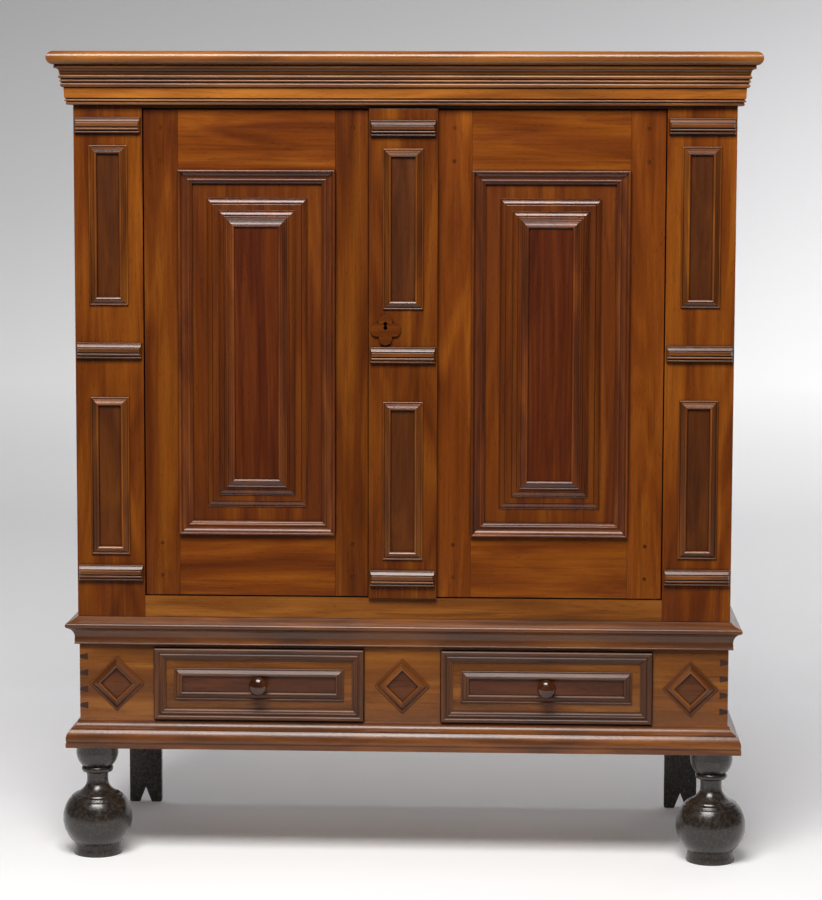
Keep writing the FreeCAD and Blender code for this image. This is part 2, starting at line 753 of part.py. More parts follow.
# Sliding bolts behind the left door's inner stile, the straps they run in, and the lock's keeper
def left_door_bolts():
    half = bolt_width / 2
    back = bolt_face + bolt_thickness
    straps = []
    bolts = []
    for low in (door_low + bolt_setback, door_high - bolt_setback - bolt_length):
        middle = low + bolt_length / 2
        bar = box(bolt_x - half, bolt_x + half, bolt_face, back, low, low + bolt_length)
        knob = Part.makeCylinder(bolt_knob_radius, bolt_knob_length, point(bolt_x, back, middle), inward)
        bolts.append(bar.fuse(knob).removeSplitter())
        for level in (middle - strap_spacing / 2, middle + strap_spacing / 2):
            straps.append(strap(half + bolt_play, back + bolt_play, level))
    save("bottom_bolt", mirrored(bolts[:1]))
    save("top_bolt", mirrored(bolts[1:]))
    straps.append(lock_keeper())
    save("left_door_straps", mirrored(straps))


def strap(half, back, level):
    low = level - strap_height / 2
    high = level + strap_height / 2
    outer = half + strap_thickness
    loop = box(bolt_x - outer, bolt_x + outer, door_back, back + strap_thickness, low, high)
    return loop.cut(box(bolt_x - half, bolt_x + half, door_back, back, low, high))


def lock_keeper():
    near = left_door_edge + keeper_setback
    rise = keeper_height / 2
    gap = lock_bolt_height / 2 + bolt_play
    keeper = box(near, near + keeper_width, door_back, door_back + lock_depth, lock_z - rise, lock_z + rise)
    slot = box(near, near + keeper_width, door_back, door_back + lock_depth - strap_thickness,
               lock_z - gap, lock_z + gap)
    return keeper.cut(slot)


# The lock behind the right door's free edge: its case, and the bolt that slides in it
def lock():
    near = lock_margin - pilaster_half
    rise = lock_height / 2
    half = lock_bolt_height / 2
    front = door_back + lock_plate
    back = front + lock_bolt_thickness
    play = bolt_play / 2
    case = box(near, near + lock_width, door_back, door_back + lock_depth, lock_z - rise, lock_z + rise)
    channel = box(near, near + lock_bolt_length + play, front - play, back + play,
                  lock_z - half - play, lock_z + half + play)
    save("lock_case", [case.cut([channel, keyhole(door_back, front)])])
    save("lock_bolt", [box(near, near + lock_bolt_length, front, back, lock_z - half, lock_z + half)])


# The pilaster on the right door's free edge, with its ornament and the lock's escutcheon
def pilaster():
    board = box(-pilaster_half, pilaster_half, pilaster_face, door_recess, door_low - pilaster_lap,
                door_high + pilaster_lap)
    save("pilaster_board", [board.cut(keyhole(pilaster_face, door_recess))])
    strip = stile_frame_strip
    frame = mitred_frame(pilaster_frame_width, stile_frame_height, strip, stile_frame_proud,
                         inner_frame_shares)
    field = [frame_field(pilaster_frame_width, stile_frame_height, strip)]
    frames = []
    fields = []
    for top in (upper_frame_top, lower_frame_top):
        level = base_top + top - pilaster_drop - stile_frame_height / 2
        frames += moved(frame, 0, pilaster_face, level)
        fields += moved(field, 0, pilaster_face, level)
    tablets = []
    for top in (capital_top, middle_tablet_top, lower_tablet_top):
        tablets += moved([reeded_tablet(pilaster_width)], 0, pilaster_face, base_top + top - pilaster_drop)
    save("pilaster_frames", frames)
    save("pilaster_fields", fields)
    save("pilaster_tablets", tablets)
    save("escutcheon", [escutcheon()])


# A quatrefoil plate of four round lobes
def escutcheon():
    front = pilaster_face - escutcheon_thickness
    offset = escutcheon_offset
    lobes = []
    for x, z in ((offset, 0), (0, offset), (-offset, 0), (0, -offset)):
        centre = point(lock_x + x, front, lock_z + z)
        lobes.append(Part.makeCylinder(escutcheon_lobe, escutcheon_thickness, centre, inward))
    half = offset / 2
    middle = box(lock_x - half, lock_x + half, front, pilaster_face, lock_z - half, lock_z + half)
    return middle.fuse(lobes).removeSplitter().cut(keyhole(front, pilaster_face))


def doors():
    right = door(-pilaster_half)
    right["stiles"][0] = right["stiles"][0].cut(keyhole(door_recess, door_back))
    for name, shapes in right.items():
        save("right_door_" + name, shapes)
    for name, shapes in door(left_door_edge).items():
        save("left_door_" + name, mirrored(shapes))


# A drawer in the right opening: nailed box, moulded front and turned knob
def drawer():
    left = drawer_middle - drawer_width / 2
    right = drawer_middle + drawer_width / 2
    back = base_behind + drawer_depth
    side_top = drawer_high - drawer_side_drop
    floor = drawer_low + drawer_bottom_lift
    floor_high = floor + drawer_bottom
    inner_left = left + drawer_side
    inner_right = right - drawer_side
    box_parts = [box(left, inner_left, base_behind, back, drawer_low, side_top),
                 box(inner_right, right, base_behind, back, drawer_low, side_top),
                 box(inner_left, inner_right, back - drawer_side, back, floor_high, side_top),
                 box(inner_left, inner_right, base_behind, back, floor, floor_high)]
    inset = drawer_height * drawer_frame_share
    width = drawer_width - 2 * inset
    height = drawer_height - 2 * inset
    border = mitred_frame(drawer_width, drawer_height, drawer_border_width, drawer_border_proud,
                          drawer_border_shares)
    frame = mitred_frame(width, height, drawer_frame_width, drawer_frame_proud, inner_frame_shares)
    field = frame_field(width, height, drawer_frame_width)
    trim = moved(border + frame + [field], drawer_middle, base_front, drawer_level)
    field_face = base_front - field_thickness
    reach = field_thickness + base_board
    place = point(drawer_middle, field_face, drawer_level)
    dowel = Part.makeCylinder(knob_dowel_radius, reach, origin, upward * -1)
    knob = turned(knob_shares, knob_radius, knob_length).fuse(dowel).removeSplitter()
    knob = knob.rotated(origin, across, 90).translated(place)
    bore = Part.makeCylinder(knob_dowel_radius, reach, place, inward)
    trim[-1] = trim[-1].cut(bore)
    front = box(left, right, base_front, base_behind, drawer_low, drawer_high).cut(bore)
    return {"front": [front], "box": box_parts, "mouldings": trim, "knob": [knob]}


def drawers():
    for name, shapes in drawer().items():
        save("right_drawer_" + name, shapes)
        save("left_drawer_" + name, mirrored(shapes))


os.makedirs("parts", exist_ok=True)
case_front()
case_sides()
case_inside()
door_stops()
cornice()
base_carcass()
drawer_runners()
base_mouldings()
front_feet()
rear_feet()
case_ornament()
doors()
left_door_bolts()
lock()
pilaster()
drawers()
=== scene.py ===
import bmesh
import bpy
import json
import math
import random
from mathutils import Matrix, Vector

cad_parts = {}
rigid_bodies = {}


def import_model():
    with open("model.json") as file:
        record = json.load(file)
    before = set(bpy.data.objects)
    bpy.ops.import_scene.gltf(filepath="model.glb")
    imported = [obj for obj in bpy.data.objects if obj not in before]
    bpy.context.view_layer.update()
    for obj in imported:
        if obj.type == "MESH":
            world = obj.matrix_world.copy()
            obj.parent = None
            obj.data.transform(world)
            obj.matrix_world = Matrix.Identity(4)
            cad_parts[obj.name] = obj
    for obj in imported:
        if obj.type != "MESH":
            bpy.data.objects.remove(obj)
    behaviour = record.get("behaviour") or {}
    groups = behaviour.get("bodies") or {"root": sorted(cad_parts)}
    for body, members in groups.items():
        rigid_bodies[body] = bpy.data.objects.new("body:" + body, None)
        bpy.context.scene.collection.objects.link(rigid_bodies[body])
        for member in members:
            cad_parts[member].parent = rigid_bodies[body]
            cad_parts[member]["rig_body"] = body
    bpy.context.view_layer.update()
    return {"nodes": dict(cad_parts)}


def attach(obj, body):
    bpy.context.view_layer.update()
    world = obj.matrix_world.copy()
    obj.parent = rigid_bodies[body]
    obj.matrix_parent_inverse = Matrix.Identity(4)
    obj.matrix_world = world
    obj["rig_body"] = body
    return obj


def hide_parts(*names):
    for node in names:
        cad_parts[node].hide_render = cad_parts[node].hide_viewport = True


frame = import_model()
mm = 0.001
caseFront = 286.0           # from the case's front face to the middle of the depth
print("frame loaded:", len(frame["nodes"]), "nodes")


def at(x, y, z):            # millimetres, y from the case's front face, to the frame's metres
    return Vector((x * mm, (y - caseFront) * mm, z * mm))


def linear(hexCode):        # sRGB hex to linear colour
    parts = [int(hexCode[i:i + 2], 16) / 255 for i in (1, 3, 5)]
    return tuple(v / 12.92 if v <= 0.04045 else ((v + 0.055) / 1.055) ** 2.4 for v in parts) + (1.0,)


def per(size):              # a pattern's scale for features this many millimetres apart
    return 1 / (size * mm)


def addNode(tree, kind, settings=None, links=None):
    node = tree.nodes.new(kind)
    for key, value in (settings or {}).items():
        if key == "stops":
            ramp = node.color_ramp.elements
            while len(ramp) < len(value):
                ramp.new(0.5)
            for stop, (place, colour) in zip(ramp, value):
                stop.position = place
                stop.color = linear(colour) if isinstance(colour, str) else (colour, colour, colour, 1)
        elif isinstance(key, int) or key in node.inputs:
            node.inputs[key].default_value = value
        else:
            setattr(node, key, value)
    for key, source in (links or {}).items():
        tree.links.new(source, node.inputs[key])
    return node


def newMaterial(name):      # an empty material and its node tree
    material = bpy.data.materials.new(name)
    material.use_nodes = True
    material.node_tree.nodes.clear()
    return material, material.node_tree


def reckon(tree, operation, *values):           # a sum over sockets and plain numbers
    node = addNode(tree, "ShaderNodeMath", {"operation": operation})
    for i, value in enumerate(values):
        if isinstance(value, (int, float)):
            node.inputs[i].default_value = value
        else:
            tree.links.new(value, node.inputs[i])
    return node.outputs[0]


def ranged(tree, value, limits, low, high):     # a value between the limits, spread from low to high
    return addNode(tree, "ShaderNodeMapRange", {"From Min": limits[0], "From Max": limits[1], "To Min": low,
                   "To Max": high}, {"Value": value}).outputs[0]


def coloured(tree, value, places, colours):     # a value as a run of colours
    return addNode(tree, "ShaderNodeValToRGB", {"stops": list(zip(places, colours))},
                   {"Fac": value}).outputs["Color"]


def layered(tree, under, share, colour):        # a colour laid over what is under it
    return addNode(tree, "ShaderNodeMix", {"data_type": "RGBA", 7: linear(colour)},
                   {0: share, 6: under}).outputs[2]


# Old finished wood: long soft streaks along the board, a drift of colour over it, fine pores, the odd dark
# speck, edges rubbed pale, and corners and creases painted dark: painted shade, with some old polish dirt
woodPattern = {              # for every wood: each noise as detail and wander, and the values it shows between
    "drift": (2.0, 0.9), "streak": (3.0, 0.7), "fine": (2.0, 0.2), "pores": (1.0, 0.0), "band": (2.0, 1.6),
    "roughness": 0.55, "bodyStops": (0.30, 0.50, 0.70), "bandFrom": (0.56, 0.74), "poreFrom": (0.62, 0.72),
    "speckFrom": (0.05, 0.025), "speckDepth": 0.8, "wornFrom": (0.62, 0.30), "wornReach": 4,
    "grimeAndShadeFrom": (0.80, 0.32), "glossFrom": (0.3, 0.7), "poreRelief": -0.5, "dentDetail": 2.0,
    "reliefDepth": 0.12}


def woodFinish(name, look):
    material, tree = newMaterial(name)
    grain = addNode(tree, "ShaderNodeAttribute", {"attribute_name": "grain"}).outputs["Vector"]
    tone = addNode(tree, "ShaderNodeAttribute", {"attribute_name": "tone"}).outputs["Fac"]

    def stretched(key):      # noise drawn out along the grain
        along, across = look[key]
        detail, wander = woodPattern[key]
        size = addNode(tree, "ShaderNodeMapping", {"Scale": (per(along), per(across), per(across))},
                       {"Vector": grain})
        return addNode(tree, "ShaderNodeTexNoise", {"Scale": 1.0, "Detail": detail, "Distortion": wander,
                       "Roughness": woodPattern["roughness"]}, {"Vector": size.outputs[0]}).outputs["Fac"]

    drift, streak, fine, pores, band = [stretched(k) for k in ("drift", "streak", "fine", "pores", "band")]
    body = coloured(tree, drift, woodPattern["bodyStops"], (look["dark"], look["mid"], look["light"]))
    lift = reckon(tree, "MULTIPLY_ADD", streak, look["streakDepth"], 1 - look["streakDepth"] / 2)
    lift = reckon(tree, "MULTIPLY_ADD", fine, look["fineDepth"], lift)
    lift = reckon(tree, "SUBTRACT", reckon(tree, "ADD", lift, tone), look["fineDepth"] / 2)
    body = addNode(tree, "ShaderNodeMix", {"data_type": "RGBA", "blend_type": "MULTIPLY", 0: 1.0},
                   {6: body, 7: lift}).outputs[2]
    streaked = ranged(tree, band, woodPattern["bandFrom"], 0, look["bandDepth"])
    body = layered(tree, body, streaked, look["bandColour"])
    pore = ranged(tree, pores, woodPattern["poreFrom"], 0, look["poreDepth"])
    body = layered(tree, body, pore, look["grime"])
    cells = addNode(tree, "ShaderNodeTexVoronoi", {"Scale": per(look["speckSpacing"])}, {"Vector": grain})
    speck = ranged(tree, cells.outputs["Distance"], woodPattern["speckFrom"], 0, woodPattern["speckDepth"])
    body = layered(tree, body, speck, look["grime"])
    edge = addNode(tree, "ShaderNodeAmbientOcclusion",
                   {"inside": True, "samples": 6, "Distance": woodPattern["wornReach"] * mm})
    worn = ranged(tree, edge.outputs["AO"], woodPattern["wornFrom"], 0, look["wornDepth"])
    body = layered(tree, body, worn, look["worn"])
    # Painted shade: occlusion paints corners, grooves and creases dark, with some old polish dirt in them
    corner = addNode(tree, "ShaderNodeAmbientOcclusion", {"samples": 8, "Distance": look["grimeAndShadeReach"] * mm})
    grime = ranged(tree, corner.outputs["AO"], woodPattern["grimeAndShadeFrom"], 0, look["grimeAndShadeDepth"])
    body = layered(tree, body, grime, look["grime"])
    gloss = ranged(tree, streak, woodPattern["glossFrom"], *look["gloss"])
    dentSize, dentDepth = look["dents"]
    dents = addNode(tree, "ShaderNodeTexNoise", {"Scale": per(dentSize), "Detail": woodPattern["dentDetail"]},
                    {"Vector": grain}).outputs["Fac"]
    height = reckon(tree, "MULTIPLY_ADD", pore, woodPattern["poreRelief"], fine)
    height = reckon(tree, "MULTIPLY_ADD", dents, dentDepth, height)
    relief = addNode(tree, "ShaderNodeBump", {"Strength": look["relief"],
                     "Distance": woodPattern["reliefDepth"] * mm}, {"Height": height}).outputs[0]
    shader = addNode(tree, "ShaderNodeBsdfPrincipled", {"IOR": 1.5, "Coat Weight": look["coat"],
                     "Coat Roughness": look["coatRoughness"]},
                     {"Base Color": body, "Roughness": gloss, "Normal": relief})
    addNode(tree, "ShaderNodeOutputMaterial", None, {"Surface": shader.outputs[0]})
    return material


# Sizes in millimetres, along the grain and then across it
gumwoodLook = {              # varnished show wood: warm and streaky, with a tight highlight
    "drift": (520, 64), "streak": (340, 10), "fine": (110, 3.0), "pores": (22, 2.4), "band": (520, 20),
    # the darkest colour fills pores and specks, and paints corners and grooves: painted shade with some dirt
    "dark": "#5f2905", "mid": "#7a3b09", "light": "#955110", "bandColour": "#451a04", "grime": "#120704",
    "worn": "#8f5220", "streakDepth": 0.45, "fineDepth": 0.45, "bandDepth": 0.4, "poreDepth": 0.3,
    # how far and how dark corners are painted: painted shade, with some old polish dirt
    "speckSpacing": 36, "dents": (13, 14), "wornDepth": 0.06, "grimeAndShadeReach": 11, "grimeAndShadeDepth": 0.9,
    "gloss": (0.20, 0.30), "relief": 0.25, "coat": 0.1, "coatRoughness": 0.12}
baseLook = dict(             # the base and cornice: the same wood, gone yellow with age
    gumwoodLook, dark="#59310e", mid="#703f13", light="#8a541e", bandColour="#4a2208", bandDepth=0.45)
mouldingLook = dict(         # door mouldings: stained redder, with soft pale lights on the crests
    gumwoodLook, drift=(380, 50), streak=(240, 8), dark="#48210b", mid="#602d0e", light="#7a4015",
    worn="#7d4c2c", bandDepth=0.25, gloss=(0.28, 0.40), coat=0.15, coatRoughness=0.16, grimeAndShadeReach=8)
caseMouldingLook = dict(     # waist, plinth and tablets: the stain rubbed back to brown
    mouldingLook, dark="#46250d", mid="#5d3211", light="#774519")
frameLook = dict(            # small frames: a thin stain, so the beads show amber
    caseMouldingLook, dark="#482408", mid="#60310a", light="#7c450f", worn="#8a5526")
drawerMouldingLook = dict(   # drawer strips: waxed, so brown with a wide dull sheen
    caseMouldingLook, dark="#44230d", mid="#5a3011", light="#744318", gloss=(0.42, 0.50), coat=0.08)
panelLook = dict(            # door panels: polished, darker and redder than the frame round them
    gumwoodLook, drift=(620, 50), streak=(400, 9), dark="#542304", mid="#672f05", light="#7a3e08",
    bandColour="#371104", bandDepth=0.45, gloss=(0.25, 0.35), coat=0.15)
doorFieldLook = dict(        # the doors' fields: veneer with a dark red figure
    panelLook, drift=(480, 26), streak=(420, 10), dark="#481802", mid="#5a2204", light="#6d3006",
    bandColour="#360c05", bandDepth=0.5)
fieldLook = dict(            # the drawers' fields: stained veneer, dark and even
    panelLook, drift=(300, 60), streak=(160, 9), dark="#43200d", mid="#522913", light="#623319",
    bandDepth=0.2, streakDepth=0.25, fineDepth=0.2)
caseFieldLook = dict(        # fields of the stiles, pilaster and lozenges: oiled veneer, warmer
    fieldLook, dark="#46210a", mid="#582b0b", light="#6a370f", streakDepth=0.35, fineDepth=0.3)
endGrainLook = dict(         # sawn ends: dark, short in the grain and dull
    gumwoodLook, drift=(30, 30), streak=(9, 9), fine=(3, 3), dark="#2b1409", mid="#3a1c0d",
    light="#4c2812", gloss=(0.4, 0.5), coat=0.0, worn="#5a3216")
pineLook = dict(             # planed pine inside and behind: pale, long in the grain and matt
    gumwoodLook, dark="#8a6238", mid="#a57b4a", light="#bd945f", bandColour="#7a5028", grime="#3a2817",
    worn="#c9a878", gloss=(0.55, 0.7), coat=0.0, grimeAndShadeDepth=0.4, wornDepth=0.1, streakDepth=0.4,
    drift=(1100, 70), streak=(800, 9), fine=(260, 3), band=(1400, 14))
knobLook = dict(             # knobs: polished by hands, dark with a small sharp light
    mouldingLook, dark="#32160a", mid="#44200f", light="#573017", gloss=(0.09, 0.14))
gumwood = woodFinish("varnishedGumwood", gumwoodLook)
baseWood = woodFinish("agedGumwood", baseLook)
moulding = woodFinish("stainedGumwood", mouldingLook)
caseMoulding = woodFinish("rubbedGumwood", caseMouldingLook)
frameMoulding = woodFinish("thinStainedGumwood", frameLook)
drawerMoulding = woodFinish("waxedGumwood", drawerMouldingLook)
panelWood = woodFinish("polishedGumwood", panelLook)
doorFieldWood = woodFinish("polishedVeneer", doorFieldLook)
fieldWood = woodFinish("stainedVeneer", fieldLook)
caseFieldWood = woodFinish("oiledVeneer", caseFieldLook)
endGrain = woodFinish("sawnEndGrain", endGrainLook)
pine = woodFinish("planedPine", pineLook)
knobWood = woodFinish("handPolishedGumwood", knobLook)


# Ebonised turning: black paint under old polish, rubbed brown on the swell and pitted all over
def ebonisedFinish(name, look):
    material, tree = newMaterial(name)
    grain = addNode(tree, "ShaderNodeAttribute", {"attribute_name": "grain"}).outputs["Vector"]
    pits = addNode(tree, "ShaderNodeTexNoise", {"Scale": per(look["pit"]), "Detail": 3.0},
                   {"Vector": grain}).outputs[0]
    wear = addNode(tree, "ShaderNodeTexNoise", {"Scale": per(look["wear"]), "Detail": 4.0, "Roughness": 0.65},
                   {"Vector": grain}).outputs[0]
    body = coloured(tree, wear, look["wearStops"], (look["black"], look["dull"], look["rubbed"]))
    chip = ranged(tree, pits, look["chipFrom"], 0, look["chipDepth"])
    body = layered(tree, body, chip, look["rubbed"])
    gloss = ranged(tree, wear, look["glossFrom"], *look["gloss"])
    relief = addNode(tree, "ShaderNodeBump", {"Strength": look["relief"], "Distance": look["pitDepth"] * mm},
                     {"Height": pits}).outputs[0]
    shader = addNode(tree, "ShaderNodeBsdfPrincipled", {"IOR": 1.5, "Coat Weight": look["coat"],
                     "Coat Roughness": look["coatRoughness"]},
                     {"Base Color": body, "Roughness": gloss, "Normal": relief})
    addNode(tree, "ShaderNodeOutputMaterial", None, {"Surface": shader.outputs[0]})
    return material


ebonised = ebonisedFinish("ebonisedWood", {
    "black": "#25201c", "dull": "#372f29", "rubbed": "#533f2f", "wearStops": (0.40, 0.58, 0.76), "pit": 4.0,
    "wear": 11, "chipFrom": (0.63, 0.68), "chipDepth": 0.5, "glossFrom": (0.35, 0.65), "gloss": (0.17, 0.36),
    "relief": 0.5, "pitDepth": 0.3, "coat": 0.3, "coatRoughness": 0.25})


# Wrought iron: forged, filed and browned, with a dull patchy sheen
def ironFinish(name, look):
    material, tree = newMaterial(name)
    grain = addNode(tree, "ShaderNodeAttribute", {"attribute_name": "grain"}).outputs["Vector"]
    patch = addNode(tree, "ShaderNodeTexNoise", {"Scale": per(look["patch"]), "Detail": 5.0},
                    {"Vector": grain}).outputs[0]
    body = coloured(tree, patch, look["patchStops"], (look["dark"], look["mid"], look["rust"]))
    gloss = ranged(tree, patch, look["glossFrom"], *look["gloss"])
    relief = addNode(tree, "ShaderNodeBump", {"Strength": look["relief"], "Distance": look["pitDepth"] * mm},
                     {"Height": patch}).outputs[0]
    shader = addNode(tree, "ShaderNodeBsdfPrincipled", {"Metallic": look["metal"]},
                     {"Base Color": body, "Roughness": gloss, "Normal": relief})
    addNode(tree, "ShaderNodeOutputMaterial", None, {"Surface": shader.outputs[0]})
    return material


iron = ironFinish("brownedIron", {
    "dark": "#1f1a17", "mid": "#342b26", "rust": "#4b3022", "patch": 9, "patchStops": (0.35, 0.55, 0.70),
    "glossFrom": (0.3, 0.7), "gloss": (0.4, 0.7), "relief": 0.4, "pitDepth": 0.2, "metal": 0.8})
print("materials made:", len(bpy.data.materials))


# Outline steps in shares to points in metres; a step of four numbers is an arc through its first point
def outline(shares, width, depth, rounds=7):
    points = [Vector(shares[0])]
    for step in shares[1:]:
        if len(step) == 2:
            points.append(Vector(step))
            continue
        a, m, b = points[-1], Vector(step[:2]), Vector(step[2:])
        a, m, b = [Vector((p.x * width, p.y * depth)) for p in (a, m, b)]
        d = 2 * (a.x * (m.y - b.y) + m.x * (b.y - a.y) + b.x * (a.y - m.y))
        s = [p.length_squared for p in (a, m, b)]
        c = Vector(((s[0] * (m.y - b.y) + s[1] * (b.y - a.y) + s[2] * (a.y - m.y)) / d,
                    (s[0] * (b.x - m.x) + s[1] * (a.x - b.x) + s[2] * (m.x - a.x)) / d))
        angles = [math.atan2(p.y - c.y, p.x - c.x) for p in (a, m, b)]
        turn = (angles[2] - angles[0]) % (2 * math.pi)
        if (angles[1] - angles[0]) % (2 * math.pi) > turn:
            turn -= 2 * math.pi
        for i in range(1, rounds + 1):
            angle = angles[0] + turn * i / rounds
            point = c + Vector((math.cos(angle), math.sin(angle))) * (a - c).length
            points.append(Vector((point.x / width, point.y / depth)))
    return [(p.x * width * mm, p.y * depth * mm) for p in points]


class Pile:                  # a mesh in the making, with its grain and tone
    def __init__(self, name):
        self.bm = bmesh.new()
        self.grain = self.bm.verts.layers.float_vector.new("grain")
        self.tone = self.bm.verts.layers.float.new("tone")
        self.draw = random.Random(name)
        self.name = name
        self.zones = ()          # heights in millimetres where the wood is paler or darker
        self.start()

    def start(self, tone=0.0, spread=0.05):      # a new board: its own place in the figure, its own tone
        self.offset = Vector([self.draw.uniform(-9, 9) for i in range(3)])
        self.shade = tone + self.draw.uniform(-spread, spread)

    def vert(self, place, grain):
        v = self.bm.verts.new(place)
        v[self.grain] = Vector(grain) + self.offset
        extra = sum(more for low, high, more in self.zones if low * mm < grain[2] < high * mm)
        v[self.tone] = self.shade + extra
        return v

    def face(self, verts):
        return self.bm.faces.new(verts)

    def skin(self, rings):       # faces between rings of one length, and a cap at each end
        for low, high in zip(rings, rings[1:]):
            for i in range(len(low)):
                self.face((low[i], low[i - 1], high[i - 1], high[i]))
        self.face(rings[0])
        self.face(rings[-1])


# One length of moulding. Its outline runs along inward and proud, and a mitre of 1 lengthens an end
# with the outline, -1 shortens it and 0 leaves it square
def addLength(pile, points, start, along, length, inward, proud, mitres, tone):
    gap = 0.15 * mm          # the hairline at a mitre
    pile.start(tone)
    ends = []
    for place, slope, trim in ((0, -mitres[0], gap), (length, mitres[1], -gap)):
        ring = []
        for a, b in points:
            run = place + slope * a + trim
            ring.append(pile.vert(start + along * run + inward * a + proud * b, (run, a, b)))
        ends.append(ring)
    pile.skin(ends)


def addFrame(pile, centre, width, height, points, turn=0.0, tone=0.0):      # four mitred strips
    for side in range(4):
        angle = math.radians(90 * side + turn)
        along = Vector((math.cos(angle), 0, math.sin(angle)))
        inward = Vector((math.sin(angle), 0, -math.cos(angle)))
        length, rise = (width, height) if side % 2 == 0 else (height, width)
        start = centre - along * (length * mm / 2) - inward * (rise * mm / 2)
        addLength(pile, points, start, along, length * mm, inward, Vector((0, -1, 0)), (-1, -1), tone)


def addPlate(pile, centre, width, height, points, upright=True):    # a raised plate, moulded all round
    pile.start()
    rings = []
    for a, b in points:
        x, z = width * mm / 2 - a, height * mm / 2 - a
        ring = []
        for i, k in ((-1, -1), (1, -1), (1, 1), (-1, 1)):
            grain = (k * z, i * x, b) if upright else (i * x, k * z, b)
            ring.append(pile.vert(centre + Vector((i * x, -b, k * z)), grain))
        rings.append(ring)
    pile.skin(rings)


def addTurning(pile, foot, axis, points, count):        # points are radius and height
    pile.start()
    side = axis.orthogonal().normalized()
    other = axis.cross(side)
    rings = []
    for r, h in points:
        if r < 1e-7:
            rings.append([pile.vert(foot + axis * h, (h, 0, 0))])
            continue
        turns = [2 * math.pi * i / count for i in range(count)]
        rings.append([pile.vert(foot + axis * h + (side * math.cos(t) + other * math.sin(t)) * r,
                                (h, r * math.cos(t), r * math.sin(t))) for t in turns])
    for low, high in zip(rings, rings[1:]):
        for i in range(count):
            j = (i + 1) % count
            ring = [low[i % len(low)], low[j % len(low)], high[j % len(high)], high[i % len(high)]]
            pile.face(list(dict.fromkeys(ring)))


smoothUnder = {"moulding": 34, "plate": 20}      # degrees between faces that still shade as one


# A pile becomes a piece that stands for its CAD nodes
def finishPiece(pile, body, nodes, materials, shape="moulding"):
    bmesh.ops.recalc_face_normals(pile.bm, faces=pile.bm.faces)
    mesh = bpy.data.meshes.new(pile.name)
    pile.bm.to_mesh(mesh)
    pile.bm.free()
    for material in materials:
        mesh.materials.append(material)
    mesh.shade_smooth()
    mesh.set_sharp_from_angle(angle=math.radians(smoothUnder[shape]))
    piece = bpy.data.objects.new(pile.name, mesh)
    bpy.context.scene.collection.objects.link(piece)
    even = piece.modifiers.new("evenShading", "WEIGHTED_NORMAL")
    even.keep_sharp = True
    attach(piece, body)
    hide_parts(*nodes)
    return piece


# The closed solids of a CAD node, as lists of faces of corner points
def solidsOf(node):
    mesh = frame["nodes"][node].data
    solids, faces, loose = [], [], set()
    for polygon in mesh.polygons:
        corners = [tuple(round(c, 6) for c in mesh.vertices[i].co) for i in polygon.vertices]
        if len(set(corners)) < 3:
            continue
        faces.append(corners)
        for a, b in zip(corners, corners[1:] + corners[:1]):
            loose ^= {frozenset((a, b))}
        if not loose:
            solids.append(faces)
            faces = []
    if faces:
        print("open faces left in", node, len(faces))
        solids.append(faces)
    return solids


def bodyOf(node):
    return frame["nodes"][node]["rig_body"]


def pieceName(node):
    first, *rest = node.split("_")
    return first + "".join(word.capitalize() for word in rest)


boardShape = {"flat": 0.4, "sharp": 28, "rounds": 2, "endFacing": 0.9}     # the first two in degrees


# Flat boards keep the CAD's shape and get eased arrises, a grain along their length and darker ends
def boardPiece(node, material, arris, tones, axis, ends):
    pile = Pile(pieceName(node))
    for number, faces in enumerate(solidsOf(node)):
        part = bmesh.new()
        seen = {}
        for corners in faces:
            for c in corners:
                if c not in seen:
                    seen[c] = part.verts.new(c)
            verts = [seen[c] for c in corners]
            if len(set(verts)) == len(verts):
                part.faces.new(verts)
        flat, sharp = math.radians(boardShape["flat"]), math.radians(boardShape["sharp"])
        bmesh.ops.dissolve_limit(part, angle_limit=flat, verts=part.verts, edges=part.edges)
        sharpEdges = [e for e in part.edges if len(e.link_faces) == 2 and e.calc_face_angle() > sharp]
        bmesh.ops.bevel(part, geom=sharpEdges, offset=arris * mm, offset_type="OFFSET", profile=0.5,
                        segments=boardShape["rounds"], affect="EDGES", clamp_overlap=True)
        bmesh.ops.recalc_face_normals(part, faces=part.faces)
        low = [min(v.co[i] for v in part.verts) for i in range(3)]
        high = [max(v.co[i] for v in part.verts) for i in range(3)]
        spans = sorted(range(3), key=lambda i: low[i] - high[i])
        if axis is not None:
            spans = [axis] + [i for i in spans if i != axis]
        pile.start(tones[number % len(tones)] if tones else 0.0)
        made = {v: pile.vert(v.co, [v.co[i] for i in spans]) for v in part.verts}
        for f in part.faces:
            face = pile.face([made[v] for v in f.verts])
            face.material_index = int(ends and abs(f.normal[spans[0]]) > boardShape["endFacing"])
        part.free()
    return finishPiece(pile, bodyOf(node), [node], [material, endGrain] if ends else [material])


# Camera fitted to the photograph
cameraView = {"place": (0.2967, -6.9068, 1.7089), "yaw": 2.396, "pitch": 5.939, "roll": 0.160, "lens": 109.44,
              "sensor": 36, "far": 60}


def addCamera(view):
    yaw, pitch, roll = [math.radians(view[k]) for k in ("yaw", "pitch", "roll")]
    ahead = Vector((-math.sin(yaw) * math.cos(pitch), math.cos(yaw) * math.cos(pitch), -math.sin(pitch)))
    right = Vector((math.cos(yaw), math.sin(yaw), 0))
    up = right.cross(ahead)
    across = right * math.cos(roll) + up * math.sin(roll)
    upright = up * math.cos(roll) - right * math.sin(roll)
    data = bpy.data.cameras.new("camera")
    data.lens = view["lens"]
    data.sensor_width = view["sensor"]
    data.clip_end = view["far"]
    camera = bpy.data.objects.new("camera", data)
    turn = Matrix((across, upright, -ahead)).transposed().to_4x4()
    camera.matrix_world = Matrix.Translation(view["place"]) @ turn
    bpy.context.scene.collection.objects.link(camera)
    bpy.context.scene.camera = camera


addCamera(cameraView)


